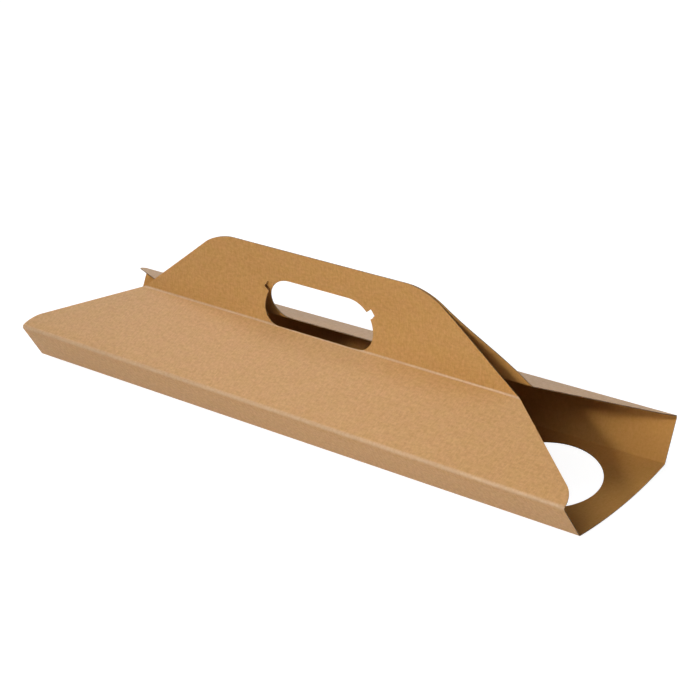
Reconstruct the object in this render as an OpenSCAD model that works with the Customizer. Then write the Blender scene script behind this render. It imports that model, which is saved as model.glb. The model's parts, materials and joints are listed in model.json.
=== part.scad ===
// Carrier for hot drink cups, folded from one die-cut sheet of kraft board.
// Millimetres, +Z up. The origin is the middle of the underside of the bottom.
// X runs along the carrier, and its two long sides mirror each other across Y.

/* [Board] */
// Thickness of the kraft board
board_t = 0.6; // [0.4:0.05:1.2]
// Radius of every fold, on the outside of the bend
fold_r = 2.2; // [1.6:0.1:3]

/* [Tray] */
// Length of the bottom and of the two walls
tray_l = 470; // [440:1:640]
// Width of the bottom, from fold to fold
bottom_w = 101.5; // [94:0.5:130]
// Height of the fold along the top of each wall
wall_h = 31.5; // [22:0.5:42]
// Distance that each wall leans out between its two folds
wall_lean = 16; // [6:0.5:22]

/* [Cup holes] */
// Number of cup holes, in one row along the middle of the bottom
cup_count = 4; // [1:1:4]
// Diameter of a cup hole
cup_hole_d = 84; // [60:0.5:88]
// Distance between the centres of two neighbouring cup holes
cup_pitch = 114.5; // [92:0.5:116]

/* [Slopes] */
// Height of the fold between each slope and its handle panel
slope_h = 58.5; // [50:0.5:70]
// Distance between the two handle folds
fold_gap = 13; // [8:0.5:24]
// Length of a handle fold
handle_fold_l = 328; // [280:1:380]
// Radius of the slopes' outer corners
slope_corner_r = 18; // [8:0.5:24]

/* [Handle] */
// Height of the top edge of the handle
handle_h = 114; // [104:0.5:140]
// Gap between the two handle panels at their top edges
handle_gap = 0.8; // [0.6:0.1:4]
// Radius of the handle's top corners
handle_corner_r = 45; // [20:1:70]

/* [Hand hole] */
// Width of the hand hole
hand_w = 94; // [84:0.5:110]
// Height of the hand hole, from the handle fold up
hand_h = 34; // [34:0.5:38]
// Radius of the hand hole's upper corners
hand_upper_r = 21.5; // [12:0.5:21.5]
// Radius of the hand hole's lower corners
hand_lower_r = 12; // [6:0.5:12]
// Width of the small notches in the upper corners
notch_w = 5.5; // [3:0.1:7]
// Depth of a notch, beyond the corner's arc
notch_d = 4.5; // [2:0.1:5]
// Angle of a notch above the length of the carrier
notch_angle = 37; // [25:1:60]

/* [Hidden] */

kraft = "#bb9463";

// Steps in the arc of one fold, and around a circle
fold_steps = 6;
$fn = 96;

// How far a cutting shape passes the surface that it cuts
over = 0.15;
// How far a round corner's circle stands outside the edge that it runs into, so
// that the two meet at a clear angle
corner_past = 0.02;

// Fold lines of one side of the carrier, in the middle of the board, from the
// middle of the bottom up to the top edge of the handle. Each is [y, z].
corner = [
    [0, board_t / 2],
    [bottom_w / 2, board_t / 2],
    [bottom_w / 2 + wall_lean, wall_h],
    [fold_gap / 2, slope_h],
    [(handle_gap + board_t) / 2, handle_h],
];
// The panels are numbered by the corner that they start from
WALL = 1;
SLOPE = 2;
HANDLE = 3;
folds = [WALL, SLOPE, HANDLE];

// The two sides, and the two ends, as the number of mirrorings that leads there
BACK = 0;
FRONT = 1;
RIGHT = 0;
LEFT = 1;

// Length of a panel, and its angle above the table
function panel_len(i) = norm(corner[i + 1] - corner[i]);
function panel_angle(i) = let (run = corner[i + 1] - corner[i]) atan2(run[1], run[0]);
function turn(i) = panel_angle(i) - panel_angle(i - 1);

// A fold takes this much off the end of each of its two panels
mid_r = fold_r - board_t / 2;
function trim(i) = mid_r * tan(abs(turn(i)) / 2);

function on_circle(r, angle) = r * [cos(angle), sin(angle)];

// Points along one fold. Each is [point in the middle of the board, normal].
function fold_points(i) =
    let (
        side = sign(turn(i)),
        start = panel_angle(i - 1),
        tangent = corner[i] - on_circle(trim(i), start),
        centre = tangent + side * on_circle(mid_r, start + 90)
    )
    [
        for (k = [0:fold_steps])
            let (
                heading = start + turn(i) * k / fold_steps,
                normal = on_circle(1, heading - 90)
            )
            [centre + side * mid_r * normal, normal]
    ];

function end_point(i, panel) = [corner[i], on_circle(1, panel_angle(panel) - 90)];

half_path = [
    for (i = folds) each fold_points(i),
    end_point(HANDLE + 1, HANDLE),
];
// The other side has the same points, mirrored and taken in the other order
function mirrored(p) = [[-p[0][0], p[0][1]], [-p[1][0], p[1][1]]];
whole_path = [
    for (k = [len(half_path) - 1:-1:0]) mirrored(half_path[k]),
    each half_path,
];

// Section of the folded board, drawn as [y, z]
module section() {
    outside = [for (p = whole_path) p[0] + p[1] * board_t / 2];
    inside = [for (p = whole_path) p[0] - p[1] * board_t / 2];
    polygon(concat(outside, [for (k = [len(inside) - 1:-1:0]) inside[k]]));
}

// Places a flat shape on a panel of the given sides, deep enough to cut the board.
// In the flat shape x runs along the carrier, and y up the panel from its fold.
module through_panel(i, sides = [BACK, FRONT]) {
    for (side = sides)
        mirror([0, side, 0])
            translate([0, corner[i][0], corner[i][1]])
                rotate([panel_angle(i), 0, 0])
                    linear_extrude(board_t + 2 * mid_r, center = true)
                        children();
}

// Outline of one end of a slope: a straight edge runs from the end of the
// handle fold to the round outer corner, which it meets as a tangent
fold_end = handle_fold_l / 2;
slope_top = panel_len(SLOPE) - trim(HANDLE);
// The cut reaches past the handle fold, so that it takes the whole bend
past_fold = panel_len(SLOPE) + mid_r;
corner_at = [tray_l / 2 - slope_corner_r + corner_past, trim(SLOPE)];
edge_start = [fold_end, slope_top];
edge_to_centre = corner_at - edge_start;
edge_angle = atan2(edge_to_centre[1], edge_to_centre[0])
    + asin(slope_corner_r / norm(edge_to_centre));

module slope_end() {
    intersection() {
        translate(corner_at)
            circle(r = slope_corner_r);
        translate(corner_at)
            square(slope_corner_r);
    }
    polygon([
        [0, corner_at[1]],
        [corner_at[0] + slope_corner_r, corner_at[1]],
        corner_at + on_circle(slope_corner_r, edge_angle + 90),
        edge_start,
        [fold_end, past_fold],
        [0, past_fold],
    ]);
}

// What the die cuts away beyond that outline
module slope_waste() {
    for (end = [RIGHT, LEFT])
        mirror([end, 0])
            difference() {
                translate([fold_end - mid_r, corner_at[1]])
                    square([tray_l / 2 - fold_end + mid_r + over, past_fold - corner_at[1]]);
                slope_end();
            }
}

// Outline of one end of a handle panel: the same straight edge carries on up
// to a large round corner at the top edge
handle_top = panel_len(HANDLE);
handle_foot = fold_end + trim(HANDLE) / tan(-edge_angle);
top_corner_x = handle_foot - handle_top / tan(-edge_angle);
top_round = handle_corner_r * tan(-edge_angle / 2);
top_centre = [top_corner_x - top_round, handle_top - handle_corner_r + corner_past];

module handle_end() {
    intersection() {
        translate(top_centre)
            circle(r = handle_corner_r);
        translate([top_centre[0], 0])
            square(handle_top + handle_corner_r);
    }
    polygon([
        [0, 0],
        [handle_foot, 0],
        top_centre + on_circle(handle_corner_r, edge_angle + 90),
        [top_centre[0], handle_top],
        [0, handle_top],
    ]);
}

module handle_waste() {
    for (end = [RIGHT, LEFT])
        mirror([end, 0])
            difference() {
                square([tray_l / 2 + over, handle_top + over]);
                handle_end();
                square([top_centre[0], handle_top + over]);
            }
}

// One quarter of a disc, for a rounded corner that opens towards x and y
module quarter(r) {
    intersection() {
        circle(r = r);
        square(r);
    }
}

// Hand hole in a handle panel, with a notch at the given ends. Its straight lower
// edge lies on the fold.
module hand_hole(notched_ends) {
    upper = [hand_w / 2 - hand_upper_r, hand_h - hand_upper_r];
    lower = [hand_w / 2 - hand_lower_r, hand_lower_r];
    for (end = [RIGHT, LEFT])
        mirror([end, 0]) {
            translate(upper)
                quarter(hand_upper_r);
            translate(lower)
                mirror([0, 1])
                    quarter(hand_lower_r);
            square([lower[0], lower[1]]);
            translate([0, lower[1]])
                square([hand_w / 2, upper[1] - lower[1]]);
            translate([0, upper[1]])
                square([upper[0], hand_upper_r]);
        }
    for (end = notched_ends)
        mirror([end, 0])
            translate(upper)
                rotate(notch_angle)
                    translate([0, -notch_w / 2])
                        square([hand_upper_r + notch_d, notch_w]);
}

// Cup holes in the bottom
module cup_holes() {
    for (k = [0:cup_count - 1])
        translate([(k - (cup_count - 1) / 2) * cup_pitch, 0, -over])
            cylinder(d = cup_hole_d, h = board_t + 2 * over);
}

module carrier() {
    color(kraft)
        difference() {
            rotate([90, 0, 90])
                linear_extrude(tray_l, center = true)
                    section();
            cup_holes();
            through_panel(SLOPE)
                slope_waste();
            through_panel(HANDLE)
                handle_waste();
            through_panel(HANDLE, [FRONT])
                hand_hole([RIGHT, LEFT]);
            // The back panel lacks the notch at its left
            through_panel(HANDLE, [BACK])
                hand_hole([RIGHT]);
        }
}

carrier();
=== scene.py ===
"""Carrier for hot drink cups, folded from one die-cut sheet of kraft board.

The flat blank is cut out first, with its holes. Then it is folded, by working out where
each point of the sheet goes: on the standing carrier the bottom is bowed, the walls are a
little twisted, and the two handle panels curve towards each other until they touch.
Sizes are in millimetres and degrees, and MM turns them into the scene's metres.
"""

import json
import math

import bmesh
import bpy
import numpy as np
from mathutils import Matrix, Vector


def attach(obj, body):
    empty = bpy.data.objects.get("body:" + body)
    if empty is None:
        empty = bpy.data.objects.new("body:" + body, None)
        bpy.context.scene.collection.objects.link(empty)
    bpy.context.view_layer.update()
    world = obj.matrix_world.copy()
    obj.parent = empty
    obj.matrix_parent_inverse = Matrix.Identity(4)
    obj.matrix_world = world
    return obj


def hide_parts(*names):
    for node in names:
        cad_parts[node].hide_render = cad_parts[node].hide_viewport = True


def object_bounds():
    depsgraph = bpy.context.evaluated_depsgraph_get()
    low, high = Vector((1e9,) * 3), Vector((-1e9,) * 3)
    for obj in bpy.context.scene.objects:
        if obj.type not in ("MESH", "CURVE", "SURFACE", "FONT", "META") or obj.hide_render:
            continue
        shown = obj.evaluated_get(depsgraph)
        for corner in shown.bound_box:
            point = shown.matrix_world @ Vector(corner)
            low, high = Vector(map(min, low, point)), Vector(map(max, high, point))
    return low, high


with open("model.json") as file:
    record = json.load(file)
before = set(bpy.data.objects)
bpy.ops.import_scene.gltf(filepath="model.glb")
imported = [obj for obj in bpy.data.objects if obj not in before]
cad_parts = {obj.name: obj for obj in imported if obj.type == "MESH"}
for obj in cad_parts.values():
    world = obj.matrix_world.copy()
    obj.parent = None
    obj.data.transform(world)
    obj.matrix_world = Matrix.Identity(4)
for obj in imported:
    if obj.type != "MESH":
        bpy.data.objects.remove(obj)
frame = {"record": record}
cad_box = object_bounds()

MM = 0.001
FRONT, BACK = -1, 1

# What the frame says
cup_holes = [m for m in frame["record"]["mounts"] if m["name"].startswith("cup_hole")]
LENGTH = (cad_box[1].x - cad_box[0].x) / MM
BOARD_T = cup_holes[0]["dims"]["length_mm"]

# Widths of the panels, from corner to corner of the folded section
BOTTOM_HALF = 50.7
WALL = 31.8
SLOPE = 65.7
HANDLE = 56.1
FOLD_R = 1.9

# Outline of the slopes and the handle panels
FOLD_HALF = 163.8
SLOPE_EDGE_ANGLE = 37.8
SLOPE_CORNER_R = 17.6
HANDLE_EDGE_ANGLE = 37.0
HANDLE_CORNER_R = 45.5

# Hand hole
HAND_W = 94.2
HAND_H = 34.0
HAND_UPPER_R = 21.5
HAND_LOWER_R = 12.4
# Notches in its upper corners, as side and end. The back panel lacks the left one.
NOTCHES = ((FRONT, -1), (FRONT, 1), (BACK, 1))
NOTCH_W = 5.5
NOTCH_D = 4.5
NOTCH_ANGLE = 37.0

# How the sheet stands. "bow" is the turn of the bottom from its middle to its side, and
# each pair gives an angle at the middle of the carrier and what it gains to the right end.
# "end_bulge" is how far the handle panel, near its ends, starts out upright before it
# leans in: 0 not at all, 1 wholly. "skew" is how far the slope fold and the handle fold lie
# to the right of their places, and "short" is what the handle panel lacks in height.
STANCE = {
    FRONT: {
        "bow": (9.1, -1.25),
        "wall": (60.1, -2.1),
        "slope": (23.5, -0.2),
        "end_bulge": 0.70,
        "skew": (-0.3, 0.6),
        "short": 0.0,
    },
    BACK: {
        "bow": (8.4, 1.4),
        "wall": (59.0, -0.3),
        "slope": (24.8, 0.1),
        "end_bulge": 0.97,
        "skew": (-0.9, 0.3),
        "short": 1.4,
    },
}
# The usual stance, which says how much of the flat sheet each fold takes up
USUAL_BOW = 9.0
USUAL_WALL = 59.3
USUAL_SLOPE = 24.4
USUAL_LEAN = 7.0

# The handle panels touch above this height over the handle fold. Over the hand hole
# they are pinched together lower down than they are near their ends.
TOUCH_MIDDLE = 33.0
TOUCH_END = 48.0
MIDDLE_BULGE = 0.52
PINCH_HALF = 50.0
PINCH_FADE = 60.0
# Gap between the panels where they touch, and the y of that place in the middle of the
# carrier, with what it gains to the right end
PANEL_GAP = 0.4
MEET_Y = -1.15
MEET_Y_GAIN = -0.2

# Spacing of the lines across which the sheet can bend
ALONG_STEP = 8.0
PANEL_STEP = 7.0
HANDLE_STEP = 4.0
FOLD_STEPS = 8

# Edges in a rounded corner and around a cup hole, and the height of the punches
CORNER_STEPS = 14
HOLE_STEPS = 144
PUNCH_H = 6.0
# Points and edges that lie this close to a place count as being there
NEAR = 0.1
# Points this close, in metres, are one
SAME_POINT = 1e-6
# Edges that turn by less than this are smooth
SMOOTH_TURN = 35

# The sheet's materials, in their order
OUTSIDE, INSIDE, CUT_EDGE = 0, 1, 2


def radians(pair, along):
    """The angle of a STANCE pair, in radians, at a share of the way to the right end."""
    return np.radians(pair[0] + pair[1] * along)


def trim(turn):
    """What a fold of this many degrees takes off the end of each of its panels."""
    return FOLD_R * math.tan(math.radians(turn) / 2)


def arc(turn):
    return FOLD_R * math.radians(turn)


# Turns of the wall fold, the slope fold and the handle fold, in degrees
TURNS = (USUAL_WALL - USUAL_BOW, 180 - USUAL_SLOPE - USUAL_WALL, 90 - USUAL_SLOPE - USUAL_LEAN)

# The flat sheet from its middle out: bottom, fold, wall, fold, slope, fold, handle panel
RUNS = (
    BOTTOM_HALF - trim(TURNS[0]),
    arc(TURNS[0]),
    WALL - trim(TURNS[0]) - trim(TURNS[1]),
    arc(TURNS[1]),
    SLOPE - trim(TURNS[1]) - trim(TURNS[2]),
    arc(TURNS[2]),
    HANDLE - trim(TURNS[2]),
)
EDGES = [sum(RUNS[:k]) for k in range(len(RUNS) + 1)]
FOLD_GIRTHS = [(EDGES[k] + EDGES[k + 1]) / 2 for k in (1, 3, 5)]
SHEET_HALF = EDGES[-1]
HANDLE_FOLD = FOLD_GIRTHS[2]


def activate(obj):
    bpy.ops.object.select_all(action="DESELECT")
    obj.select_set(True)
    bpy.context.view_layer.objects.active = obj


def slab(name, length, width, height, centre=(0, 0, 0), turn=0):
    """A block of board stock, with its place in its mesh."""
    bpy.ops.object.select_all(action="DESELECT")
    bpy.ops.mesh.primitive_cube_add(
        size=1,
        location=Vector(centre) * MM,
        rotation=(0, 0, math.radians(turn)),
        scale=Vector((length, width, height)) * MM,
    )
    obj = bpy.context.object
    obj.name = name
    bpy.ops.object.transform_apply(location=True, rotation=True, scale=True)
    return obj


def pick_face(obj, normal):
    """Selects the face that lies furthest along a direction."""
    mesh = bmesh.from_edit_mesh(obj.data)
    bpy.ops.mesh.select_all(action="DESELECT")
    best = max(mesh.faces, key=lambda face: face.calc_center_median().dot(normal))
    best.select = True
    bmesh.update_edit_mesh(obj.data)


def pick_upright_edges(obj, x, y):
    """Selects the upright edges that stand at a point or at its mirror images along X."""
    mesh = bmesh.from_edit_mesh(obj.data)
    bpy.ops.mesh.select_all(action="DESELECT")
    for edge in mesh.edges:
        start, end = (v.co / MM for v in edge.verts)
        there = abs(abs(start.x) - x) < NEAR and abs(start.y - y) < NEAR
        if there and (end - start).xy.length < NEAR:
            edge.select = True
    mesh.select_flush_mode()
    bmesh.update_edit_mesh(obj.data)


def round_corner(obj, x, y, radius, edge_angle):
    """Rounds the corners at a point, where the outline turns by an angle in degrees."""
    pick_upright_edges(obj, x, y)
    tangent = radius * math.tan(math.radians(edge_angle) / 2)
    bpy.ops.mesh.bevel(
        offset_type="OFFSET",
        offset=tangent * MM,
        segments=CORNER_STEPS,
        profile=0.5,
        affect="EDGES",
    )


def score(obj, axis, places):
    """Cuts lines across the sheet, at right angles to an axis, where it is to bend."""
    normal = Vector(axis)
    for place in places:
        bpy.ops.mesh.select_all(action="SELECT")
        bpy.ops.mesh.bisect(plane_co=normal * place * MM, plane_no=normal, threshold=1e-7)


def steps(start, end, step):
    count = max(1, round((end - start) / step))
    return [start + (end - start) * k / count for k in range(count)]


def girth_lines():
    """Places of the lines along one side of the sheet, closer together in the folds."""
    spacing = [PANEL_STEP] * len(RUNS)
    for k in (1, 3, 5):
        spacing[k] = RUNS[k] / FOLD_STEPS
    spacing[-1] = HANDLE_STEP
    places = []
    for start, end, step in zip(EDGES, EDGES[1:], spacing):
        places += steps(start, end, step)
    return places[1:]


def blank_outline():
    """The flat sheet, cut to its outline, with the lines on which it bends."""
    corner = HANDLE_FOLD - (LENGTH / 2 - FOLD_HALF) * math.tan(math.radians(SLOPE_EDGE_ANGLE))
    handle_edge = math.tan(math.radians(HANDLE_EDGE_ANGLE))
    tops = {}
    for side in (FRONT, BACK):
        rise = SHEET_HALF - HANDLE_FOLD - STANCE[side]["short"]
        tops[side] = (HANDLE_FOLD + rise, FOLD_HALF - rise / handle_edge)
    sheet = slab("carrier_sheet", LENGTH, 2 * corner, BOARD_T)
    bpy.ops.object.mode_set(mode="EDIT")
    bpy.ops.mesh.select_mode(type="FACE")
    for side in (FRONT, BACK):
        pick_face(sheet, Vector((0, side, 0)))
        at, half = corner, LENGTH / 2
        for next_at, next_half in ((HANDLE_FOLD, FOLD_HALF), tops[side]):
            bpy.ops.mesh.extrude_region_move(
                TRANSFORM_OT_translate={"value": (0, side * (next_at - at) * MM, 0)}
            )
            bpy.ops.transform.resize(value=(next_half / half, 1, 1), center_override=(0, 0, 0))
            at, half = next_at, next_half
    bpy.ops.mesh.select_mode(type="EDGE")
    for side in (FRONT, BACK):
        round_corner(sheet, LENGTH / 2, side * corner, SLOPE_CORNER_R, 90 - SLOPE_EDGE_ANGLE)
        top, half = tops[side]
        round_corner(sheet, half, side * top, HANDLE_CORNER_R, HANDLE_EDGE_ANGLE)
    bpy.ops.mesh.select_mode(type="VERT")
    score(sheet, (1, 0, 0), steps(-LENGTH / 2, LENGTH / 2, ALONG_STEP)[1:])
    lines = girth_lines()
    score(sheet, (0, 1, 0), [0] + lines + [-place for place in lines])
    bpy.ops.object.mode_set(mode="OBJECT")
    return sheet


def punch(sheet, tool):
    """Cuts a tool's shape out of the sheet and puts the tool away."""
    activate(sheet)
    cut = sheet.modifiers.new("punch", "BOOLEAN")
    cut.operation = "DIFFERENCE"
    cut.solver = "EXACT"
    cut.object = tool
    bpy.ops.object.modifier_apply(modifier=cut.name)
    bpy.data.objects.remove(tool, do_unlink=True)


def cup_punch(mount):
    """A round punch for a cup hole, of the size and at the place that the frame gives."""
    x, y = mount["pos_m"][:2]
    bpy.ops.object.select_all(action="DESELECT")
    bpy.ops.mesh.primitive_cylinder_add(
        vertices=HOLE_STEPS,
        radius=mount["dims"]["r_mm"] * MM,
        depth=PUNCH_H * MM,
        location=(x, y, 0),
    )
    bpy.ops.object.transform_apply(location=True)
    return bpy.context.object


def hand_punch(side):
    """The hand hole's outline. Its straight lower edge lies on the handle fold."""
    centre = side * (HANDLE_FOLD + HAND_H / 2)
    tool = slab("hand_punch", HAND_W, HAND_H, PUNCH_H, (0, centre, 0))
    bpy.ops.object.mode_set(mode="EDIT")
    bpy.ops.mesh.select_mode(type="EDGE")
    round_corner(tool, HAND_W / 2, side * HANDLE_FOLD, HAND_LOWER_R, 90)
    round_corner(tool, HAND_W / 2, side * (HANDLE_FOLD + HAND_H), HAND_UPPER_R, 90)
    bpy.ops.object.mode_set(mode="OBJECT")
    return tool


def notch_punch(side, end):
    """The small notch in an upper corner of the hand hole."""
    angle = math.radians(NOTCH_ANGLE)
    length = HAND_UPPER_R + NOTCH_D
    x = HAND_W / 2 - HAND_UPPER_R + length / 2 * math.cos(angle)
    y = HANDLE_FOLD + HAND_H - HAND_UPPER_R + length / 2 * math.sin(angle)
    centre = (end * x, side * y, 0)
    return slab("notch_punch", length, NOTCH_W, PUNCH_H, centre, side * end * NOTCH_ANGLE)


def clean(sheet):
    """Joins the points that the punches left double."""
    activate(sheet)
    bpy.ops.object.mode_set(mode="EDIT")
    bpy.ops.mesh.select_all(action="SELECT")
    bpy.ops.mesh.remove_doubles(threshold=SAME_POINT)
    bpy.ops.mesh.dissolve_degenerate(threshold=SAME_POINT)
    bpy.ops.object.mode_set(mode="OBJECT")


def note_flat_places(sheet):
    """Keeps each point's place on the flat sheet, in metres, as the map that the board's
    grain and creases follow, and tells the outside, the inside and the cut edges apart."""
    mesh = sheet.data
    while mesh.uv_layers:
        mesh.uv_layers.remove(mesh.uv_layers[0])
    flat = mesh.uv_layers.new(name="sheet")
    for loop in mesh.loops:
        place = mesh.vertices[loop.vertex_index].co
        flat.data[loop.index].uv = (place.x, place.y)
    for face in mesh.polygons:
        if abs(face.normal.z) < 0.5:
            face.material_index = CUT_EDGE
        else:
            face.material_index = INSIDE if face.normal.z > 0 else OUTSIDE


def fade(x, start, width):
    """0 up to start on either side of the middle, and 1 from start + width on."""
    t = np.clip((np.abs(x) - start) / width, 0, 1)
    return t * t * (3 - 2 * t)


def walk_to(girth, turns):
    """Follows the folded section to a girth. turns are the turns of the runs from the
    bottom to the slope. Returns the y and z reached and the heading there."""
    y = np.zeros_like(girth)
    z = np.full_like(girth, BOARD_T / 2)
    heading = np.zeros_like(girth)
    for start, full, turn in zip(EDGES, RUNS, turns):
        along = np.clip(girth - start, 0, full)
        angle = turn * along / full
        chord = along * np.sinc(angle / (2 * math.pi))
        y += chord * np.cos(heading + angle / 2)
        z += chord * np.sin(heading + angle / 2)
        heading = heading + angle
    return y, z, heading


def handle_curve(x, up, reach, end_bulge):
    """The curve of a handle panel, which crosses the distance reach and is upright from
    where it touches the other panel. Returns y, z and the heading."""
    far = fade(x, PINCH_HALF, PINCH_FADE)
    touch = TOUCH_MIDDLE + (TOUCH_END - TOUCH_MIDDLE) * far
    bulge = MIDDLE_BULGE + (end_bulge - MIDDLE_BULGE) * far
    q = np.clip(up / touch, 0, 1)
    share = (1 - bulge) * (2 * q - q**2) + bulge * q**2 * (3 - 2 * q)
    # The slope of share is (1 - q) (a + b q). Its square, summed, is what z loses.
    a, b = 2 * (1 - bulge), 6 * bulge
    squares = (
        a**2 * q
        + (a * b - a**2) * q**2
        + (b**2 - 4 * a * b + a**2) * q**3 / 3
        + (a * b - b**2) * q**4 / 2
        + b**2 * q**5 / 5
    )
    lean = reach / touch * (1 - q) * (a + b * q)
    heading = np.arctan2(np.sqrt(1 - lean**2), lean)
    return reach * share, up - reach**2 / touch * squares / 2, heading


def fold_side(x, girth, height, side):
    """Folds the points of one side. girth counts outwards, and height is above the middle
    of the board, on its inside."""
    stance = STANCE[side]
    along = x / (LENGTH / 2)
    x = x + np.interp(girth, (EDGES[1], EDGES[3], EDGES[5]), (0, *stance["skew"]))
    wall = radians(stance["wall"], along)
    slope = math.pi - radians(stance["slope"], along)
    bow = radians(stance["bow"], along)
    turns = [bow, wall - bow, 0, slope - wall, 0]
    fold_y = walk_to(np.full_like(girth, EDGES[5]), turns)[0]
    meet = (BOARD_T + PANEL_GAP) / 2 + side * (MEET_Y + MEET_Y_GAIN * along)
    reach = meet - fold_y + trim(TURNS[2])
    start_heading = handle_curve(x, np.zeros_like(x), reach, stance["end_bulge"])[2]
    turns.append(start_heading - slope)
    fold_y = walk_to(np.full_like(girth, EDGES[6]), turns)[0]
    y, z, heading = walk_to(girth, turns)
    up = girth - EDGES[6]
    curve_y, curve_z, curve_heading = handle_curve(
        x, np.maximum(up, 0), meet - fold_y, stance["end_bulge"]
    )
    heading = np.where(up > 0, curve_heading, heading)
    y = y + curve_y - height * np.sin(heading)
    z = z + curve_z + height * np.cos(heading)
    return np.stack([x, side * y, z], axis=1)


def fold(sheet):
    """Folds the flat sheet, in place."""
    flat = np.empty(len(sheet.data.vertices) * 3)
    sheet.data.vertices.foreach_get("co", flat)
    x, girth, height = flat.reshape(-1, 3).T / MM
    front = fold_side(x, np.abs(girth), height, FRONT)
    back = fold_side(x, np.abs(girth), height, BACK)
    folded = np.where((girth < 0)[:, None], front, back)
    sheet.data.vertices.foreach_set("co", (folded * MM).ravel())
    sheet.data.update()


def carrier_sheet():
    sheet = blank_outline()
    for mount in cup_holes:
        punch(sheet, cup_punch(mount))
    for side in (FRONT, BACK):
        punch(sheet, hand_punch(side))
    for side, end in NOTCHES:
        punch(sheet, notch_punch(side, end))
    clean(sheet)
    note_flat_places(sheet)
    fold(sheet)
    activate(sheet)
    bpy.ops.object.shade_smooth_by_angle(angle=math.radians(SMOOTH_TURN))
    return sheet


class Nodes:
    """Adds nodes to a material or a group in few words."""

    def __init__(self, tree):
        self.tree = tree

    def add(self, kind, **settings):
        node = self.tree.nodes.new(kind)
        for name, value in settings.items():
            setattr(node, name, value)
        return node

    def join(self, source, target):
        self.tree.links.new(source, target)

    def math(self, operation, *values):
        node = self.add("ShaderNodeMath", operation=operation)
        for socket, value in zip(node.inputs, values):
            if isinstance(value, (int, float)):
                socket.default_value = value
            else:
                self.join(value, socket)
        return node.outputs[0]

    def noise(self, vector, scale, detail=3.0, roughness=0.55):
        node = self.add("ShaderNodeTexNoise")
        node.inputs["Scale"].default_value = scale
        node.inputs["Detail"].default_value = detail
        node.inputs["Roughness"].default_value = roughness
        self.join(vector, node.inputs["Vector"])
        return node.outputs["Fac"]

    def stretch(self, vector, scale):
        node = self.add("ShaderNodeVectorMath", operation="MULTIPLY")
        self.join(vector, node.inputs[0])
        node.inputs[1].default_value = scale
        return node.outputs[0]

    def ramp(self, value, start, end, low=0.0, high=1.0):
        node = self.add("ShaderNodeMapRange", interpolation_type="SMOOTHSTEP")
        self.join(value, node.inputs["Value"])
        limits = {"From Min": start, "From Max": end, "To Min": low, "To Max": high}
        for name, number in limits.items():
            node.inputs[name].default_value = number
        return node.outputs["Result"]

    def mix(self, factor, first, second):
        """factor is a number or a socket, and first and second are colours or sockets.
        The node keeps its two colours at inputs 6 and 7, and their mix at output 2."""
        node = self.add("ShaderNodeMix", data_type="RGBA")
        if isinstance(factor, float):
            node.inputs["Factor"].default_value = factor
        else:
            self.join(factor, node.inputs["Factor"])
        for index, value in ((6, first), (7, second)):
            if isinstance(value, tuple):
                node.inputs[index].default_value = (*value, 1)
            else:
                self.join(value, node.inputs[index])
        return node.outputs[2]


def new_group(name, inputs, outputs):
    """A shader node group. inputs and outputs are (name, socket kind) pairs."""
    tree = bpy.data.node_groups.new(name, "ShaderNodeTree")
    for in_out, sockets in (("INPUT", inputs), ("OUTPUT", outputs)):
        for socket_name, kind in sockets:
            tree.interface.new_socket(name=socket_name, in_out=in_out, socket_type=kind)
    nodes = Nodes(tree)
    return nodes, nodes.add("NodeGroupInput"), nodes.add("NodeGroupOutput")


def pulp_group():
    """Fibres, grain, clouds, warmth and flecks of the board, and the height of its tooth."""
    values = ("Fibres", "Grain", "Clouds", "Warmth", "Flecks", "Tooth")
    nodes, given, result = new_group(
        "Pulp",
        [("Place", "NodeSocketVector")],
        [(name, "NodeSocketFloat") for name in values],
    )
    place = given.outputs["Place"]
    long_fibres = nodes.noise(nodes.stretch(place, (900, 180, 1)), 1.0, 3.0)
    cross_fibres = nodes.noise(nodes.stretch(place, (240, 620, 1)), 1.0, 2.0)
    across = nodes.math("MULTIPLY", cross_fibres, 0.45)
    fibres = nodes.math("MULTIPLY_ADD", long_fibres, 0.55, across)
    nodes.join(nodes.ramp(fibres, 0.36, 0.64), result.inputs["Fibres"])
    grain = nodes.noise(nodes.stretch(place, (460, 460, 1)), 1.0, 4.0, 0.7)
    nodes.join(nodes.ramp(grain, 0.32, 0.68), result.inputs["Grain"])
    clouds = nodes.noise(place, 42.0, 3.0, 0.6)
    nodes.join(nodes.ramp(clouds, 0.32, 0.68), result.inputs["Clouds"])
    warmth = nodes.noise(nodes.stretch(place, (95, 120, 1)), 1.0, 2.0)
    nodes.join(nodes.ramp(warmth, 0.34, 0.66), result.inputs["Warmth"])
    specks = nodes.noise(nodes.stretch(place, (900, 600, 1)), 1.0, 1.0)
    nodes.join(nodes.ramp(specks, 0.66, 0.76), result.inputs["Flecks"])
    tooth = nodes.noise(nodes.stretch(place, (2600, 2200, 1)), 1.0, 2.0)
    nodes.join(nodes.math("MULTIPLY_ADD", fibres, 0.5, tooth), result.inputs["Tooth"])
    return nodes.tree


def crease_group():
    """1 on the line of a fold, fading to 0 at Width from it, on both sides of the carrier."""
    nodes, given, result = new_group(
        "Crease",
        [("Place", "NodeSocketVector"), ("Fold", "NodeSocketFloat"), ("Width", "NodeSocketFloat")],
        [("Crease", "NodeSocketFloat")],
    )
    split = nodes.add("ShaderNodeSeparateXYZ")
    nodes.join(given.outputs["Place"], split.inputs[0])
    girth = nodes.math("ABSOLUTE", split.outputs["Y"])
    away = nodes.math("ABSOLUTE", nodes.math("SUBTRACT", girth, given.outputs["Fold"]))
    share = nodes.math("DIVIDE", away, given.outputs["Width"])
    nodes.join(nodes.ramp(share, 0.0, 1.0, 1.0, 0.0), result.inputs["Crease"])
    return nodes.tree


PULP = pulp_group()
CREASE = crease_group()

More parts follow.
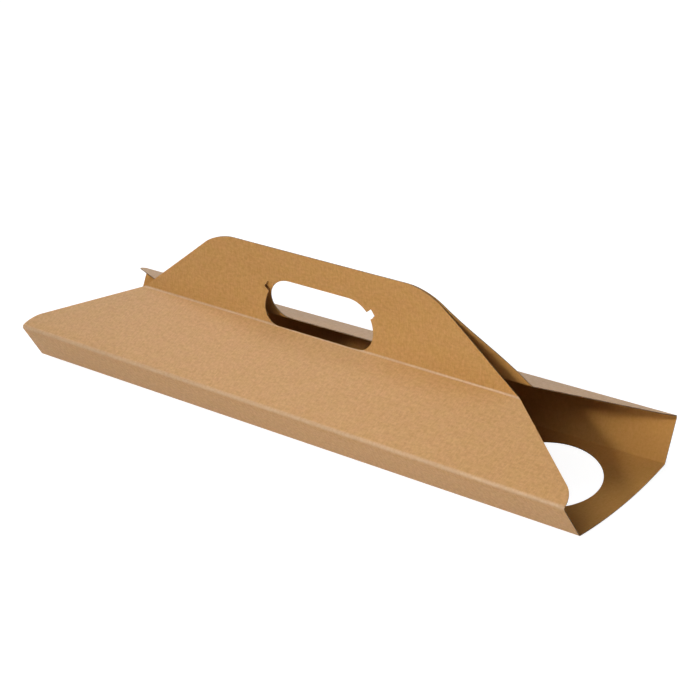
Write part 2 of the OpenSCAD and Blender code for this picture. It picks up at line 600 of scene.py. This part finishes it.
# Colours of the kraft, as linear values
KRAFT_DARK = (0.470, 0.238, 0.058)
KRAFT_PALE = (0.510, 0.263, 0.074)
KRAFT_YELLOW = (0.475, 0.259, 0.056)
KRAFT_RED = (0.505, 0.242, 0.075)
KRAFT_DEEP = (0.350, 0.163, 0.032)
KRAFT_LIGHT = (0.635, 0.336, 0.107)
KRAFT_FLECK = (0.26, 0.14, 0.06)
# Pale colour of the fold lines: partly worn fibres, partly a painted highlight of the rounded folds
KRAFT_WORN_AND_HIGHLIGHT = (0.57, 0.38, 0.23)
KRAFT_INSIDE = (0.60, 0.29, 0.075)
EDGE_DARK = (0.17, 0.10, 0.05)
EDGE_PALE = (0.25, 0.155, 0.09)

# Height of the board's tooth
TOOTH_H = 0.1

# Folds that show as a pale line on the outside, as their girth and the line's half width. The line
# is partly worn fibres and partly a painted highlight of the rounded fold
CREASES = ((FOLD_GIRTHS[1], 2.4), (FOLD_GIRTHS[2], 1.6))


def board_material(name):
    """A Principled material with the pulp group placed on the flat sheet."""
    material = bpy.data.materials.new(name)
    material.use_nodes = True
    nodes = Nodes(material.node_tree)
    shader = material.node_tree.nodes["Principled BSDF"]
    place = nodes.add("ShaderNodeUVMap", uv_map="sheet").outputs[0]
    pulp = nodes.add("ShaderNodeGroup", node_tree=PULP)
    nodes.join(place, pulp.inputs["Place"])
    return material, nodes, shader, place, pulp


def tooth_bump(nodes, shader, height, strength):
    bump = nodes.add("ShaderNodeBump")
    bump.inputs["Strength"].default_value = strength
    bump.inputs["Distance"].default_value = TOOTH_H * MM
    nodes.join(height, bump.inputs["Height"])
    nodes.join(bump.outputs["Normal"], shader.inputs["Normal"])


def kraft_colour(nodes, pulp):
    """Brown kraft: yellower and redder in clouds, mottled, fibrous and a little flecked."""
    clouded = nodes.mix(pulp.outputs["Clouds"], KRAFT_DARK, KRAFT_PALE)
    warmed = nodes.mix(pulp.outputs["Warmth"], KRAFT_YELLOW, KRAFT_RED)
    tinted = nodes.mix(0.5, clouded, warmed)
    grain = nodes.mix(pulp.outputs["Grain"], KRAFT_DEEP, KRAFT_LIGHT)
    fibres = nodes.mix(pulp.outputs["Fibres"], KRAFT_DEEP, KRAFT_LIGHT)
    mottled = nodes.mix(0.5, tinted, nodes.mix(0.45, grain, fibres))
    flecks = nodes.math("MULTIPLY", pulp.outputs["Flecks"], 0.35)
    return nodes.mix(flecks, mottled, KRAFT_FLECK)


def kraft_outside():
    """The outside of the board: a slight gloss, and paler, broken lines on its folds, which are
    partly worn fibres and partly a painted highlight where the rounded folds catch the light.
    """
    material, nodes, shader, place, pulp = board_material("kraft_outside")
    board = kraft_colour(nodes, pulp)
    creases = None
    for girth, width in CREASES:
        crease = nodes.add("ShaderNodeGroup", node_tree=CREASE)
        nodes.join(place, crease.inputs["Place"])
        crease.inputs["Fold"].default_value = girth * MM
        crease.inputs["Width"].default_value = width * MM
        mask = crease.outputs["Crease"]
        creases = mask if creases is None else nodes.math("MAXIMUM", creases, mask)
    # The fold lines are painted paler: partly wear, partly a painted highlight where the folds
    # catch the light
    broken = nodes.math("MULTIPLY_ADD", pulp.outputs["Grain"], 0.35, 0.6)
    crease_wear_and_highlight = nodes.math("MULTIPLY", creases, broken)
    nodes.join(nodes.mix(crease_wear_and_highlight, board, KRAFT_WORN_AND_HIGHLIGHT), shader.inputs["Base Color"])
    nodes.join(nodes.ramp(pulp.outputs["Fibres"], 0.0, 1.0, 0.50, 0.42), shader.inputs["Roughness"])
    shader.inputs["Specular IOR Level"].default_value = 0.38
    tooth_bump(nodes, shader, pulp.outputs["Tooth"], 0.35)
    return material


def kraft_inside():
    """The inside of the board: the same kraft, dull and a little redder."""
    material, nodes, shader, _, pulp = board_material("kraft_inside")
    board = nodes.mix(0.5, kraft_colour(nodes, pulp), KRAFT_INSIDE)
    nodes.join(board, shader.inputs["Base Color"])
    nodes.join(nodes.ramp(pulp.outputs["Fibres"], 0.0, 1.0, 0.92, 0.84), shader.inputs["Roughness"])
    shader.inputs["Specular IOR Level"].default_value = 0.2
    tooth_bump(nodes, shader, pulp.outputs["Tooth"], 0.3)
    return material


def cut_edge():
    """The board's die-cut edges: darker, with the fibres just showing."""
    material, nodes, shader, _, pulp = board_material("cut_edge")
    board = nodes.mix(pulp.outputs["Fibres"], EDGE_DARK, EDGE_PALE)
    nodes.join(board, shader.inputs["Base Color"])
    shader.inputs["Roughness"].default_value = 0.9
    shader.inputs["Specular IOR Level"].default_value = 0.2
    tooth_bump(nodes, shader, pulp.outputs["Tooth"], 0.5)
    return material


sheet = carrier_sheet()
for material in (kraft_outside(), kraft_inside(), cut_edge()):
    sheet.data.materials.append(material)
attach(sheet, "root")
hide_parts("carrier")

# Camera, as it stood for the photograph
AIM = Vector((23.4, 0, 52.2)) * MM
DISTANCE = 1187.2 * MM
AZIMUTH = 40.25
ELEVATION = 25.45
ROLL = -3.74
FOCAL_PX = 1768.4
PICTURE_PX = 700
SENSOR_W = 36.0

# Studio light: the world's own light, and how white the floor is lifted where it is seen
WORLD_LIGHT = 0.15
FLOOR_LIFT = 0.95
# Side of the floor, in metres, and its colour, as it lights the carrier and as it is seen
FLOOR_W = 30
FLOOR_COLOUR = (0.8, 0.8, 0.8)
FLOOR_SEEN = (0.25, 0.25, 0.25)


def make_camera():
    data = bpy.data.cameras.new("camera")
    data.sensor_width = SENSOR_W
    data.lens = FOCAL_PX * SENSOR_W / PICTURE_PX
    data.clip_start = 0.05
    camera = bpy.data.objects.new("camera", data)
    bpy.context.collection.objects.link(camera)
    turn = (
        Matrix.Rotation(math.radians(AZIMUTH), 3, "Z")
        @ Matrix.Rotation(math.radians(90 - ELEVATION), 3, "X")
        @ Matrix.Rotation(math.radians(ROLL), 3, "Z")
    )
    camera.rotation_euler = turn.to_euler()
    camera.location = AIM + turn @ Vector((0, 0, DISTANCE))
    bpy.context.scene.camera = camera


def seen_rays(nodes):
    """1 for the rays that show a surface to the camera, straight or in a gloss."""
    path = nodes.add("ShaderNodeLightPath").outputs
    straight_or_gloss = nodes.math("MAXIMUM", path["Is Camera Ray"], path["Is Glossy Ray"])
    return nodes.math("MAXIMUM", straight_or_gloss, path["Is Transmission Ray"])


def make_floor():
    """A white floor. Where it is seen, it is lifted to white and keeps a faint shadow."""
    bpy.ops.object.select_all(action="DESELECT")
    bpy.ops.mesh.primitive_plane_add(size=FLOOR_W)
    floor = bpy.context.object
    floor.name = "floor"
    material = bpy.data.materials.new("white_floor")
    material.use_nodes = True
    nodes = Nodes(material.node_tree)
    shader = material.node_tree.nodes["Principled BSDF"]
    shader.inputs["Roughness"].default_value = 1.0
    shader.inputs["Specular IOR Level"].default_value = 0.0
    seen = seen_rays(nodes)
    nodes.join(nodes.mix(seen, FLOOR_COLOUR, FLOOR_SEEN), shader.inputs["Base Color"])
    shader.inputs["Emission Color"].default_value = (1, 1, 1, 1)
    nodes.join(nodes.math("MULTIPLY", seen, FLOOR_LIFT), shader.inputs["Emission Strength"])
    floor.data.materials.append(material)


def soft_lamp(name, azimuth, elevation, distance, size, power, spread=180, aside=0):
    """A round soft lamp. Its angles are in degrees, its distance and size in metres and
    its power in watts. It faces a point as many millimetres to the right of the carrier's
    middle as aside says."""
    data = bpy.data.lights.new(name, "AREA")
    data.shape = "DISK"
    data.size = size
    data.energy = power
    data.spread = math.radians(spread)
    lamp = bpy.data.objects.new(name, data)
    bpy.context.collection.objects.link(lamp)
    turn = Matrix.Rotation(math.radians(azimuth), 3, "Z") @ Matrix.Rotation(
        math.radians(-elevation), 3, "Y"
    )
    out = turn @ Vector((1, 0, 0))
    lamp.location = AIM + out * distance
    facing = Vector((aside * MM, 0, 0)) - out * distance
    lamp.rotation_euler = facing.to_track_quat("-Z", "Y").to_euler()


def make_world():
    world = bpy.data.worlds.new("studio")
    bpy.context.scene.world = world
    world.use_nodes = True
    nodes = Nodes(world.node_tree)
    background = world.node_tree.nodes["Background"]
    background.inputs["Color"].default_value = (1, 1, 1, 1)
    strength = nodes.math("MULTIPLY_ADD", seen_rays(nodes), 1 - WORLD_LIGHT, WORLD_LIGHT)
    nodes.join(strength, background.inputs["Strength"])


make_camera()
make_floor()
make_world()
soft_lamp(
    "key_lamp",
    azimuth=-106, elevation=35, distance=2.5, size=0.34, power=1.0, spread=40, aside=200,
)
soft_lamp(
    "front_lamp",
    azimuth=-82, elevation=45, distance=1.7, size=0.7, power=1.05, spread=90, aside=150,
)
soft_lamp(
    "low_lamp",
    azimuth=-95, elevation=14, distance=1.7, size=0.5, power=1.55, spread=90, aside=150,
)
soft_lamp("left_lamp", azimuth=172, elevation=52, distance=5.0, size=2.35, power=83)
bpy.context.scene.view_settings.view_transform = "Standard"
